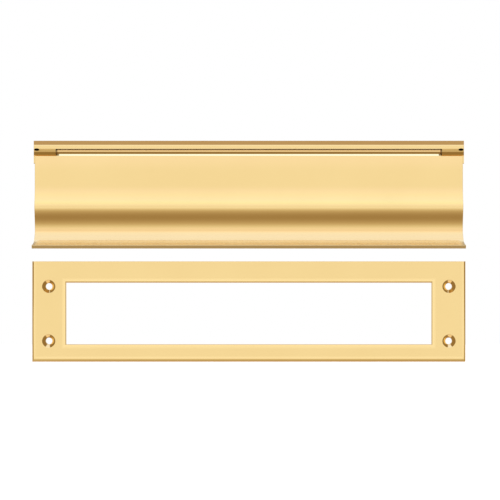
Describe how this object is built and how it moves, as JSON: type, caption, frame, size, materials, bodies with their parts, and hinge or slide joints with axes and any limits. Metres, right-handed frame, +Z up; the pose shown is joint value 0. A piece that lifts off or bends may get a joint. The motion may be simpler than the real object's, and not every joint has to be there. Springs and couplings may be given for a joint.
{
  "type": "letter plate",
  "caption": "Polished brass letter plate: sprung, shaped outer flap on a hinged header with a backplate and through-door posts, and the loose flat frame for the door's inside.",
  "frame": {"origin": "centre of the flap unit's letter aperture, on the plane of the door's outer face", "axes": "+X along the plate's width, +Y into the door, +Z up; the flap faces -Y"},
  "size_m": [0.3338, 0.067, 0.1701],
  "materials": {
    "polished_brass": "polished and lacquered",
    "turned_brass": "as turned",
    "bright_steel": "bright drawn",
    "zinc_steel": "zinc plated",
    "black_rubber": "moulded"
  },
  "bodies": {
    "root": {"backplate": "polished_brass", "hinge_header": "polished_brass", "interior_frame": "polished_brass", "hinge_pin": "bright_steel", "pin_set_screw_left": "zinc_steel", "pin_set_screw_right": "zinc_steel", "hinge_washer_left": "turned_brass", "hinge_washer_right": "turned_brass", "return_spring_left": "bright_steel", "return_spring_right": "bright_steel", "header_screw_1": "zinc_steel", "header_screw_2": "zinc_steel", "header_screw_3": "zinc_steel", "header_screw_4": "zinc_steel", "fixing_post_upper_left": "turned_brass", "fixing_post_upper_right": "turned_brass", "fixing_post_lower_left": "turned_brass", "fixing_post_lower_right": "turned_brass", "fixing_screw_upper_left": "polished_brass", "fixing_screw_upper_right": "polished_brass", "fixing_screw_lower_left": "polished_brass", "fixing_screw_lower_right": "polished_brass", "flap_bumper_left": "black_rubber", "flap_bumper_right": "black_rubber"},
    "flap": {"flap": "polished_brass"}
  },
  "joints": [
    {"name": "flap_hinge", "type": "hinge", "parent": "root", "child": "flap", "pos_m": [0, -0.007, 0.0364], "axis": [-1, 0, 0], "range_deg": [0, 78], "stiffness_Nm_per_rad": 0.12, "springref_deg": -68.75, "deforming": ["return_spring_left", "return_spring_right"]}
  ]
}
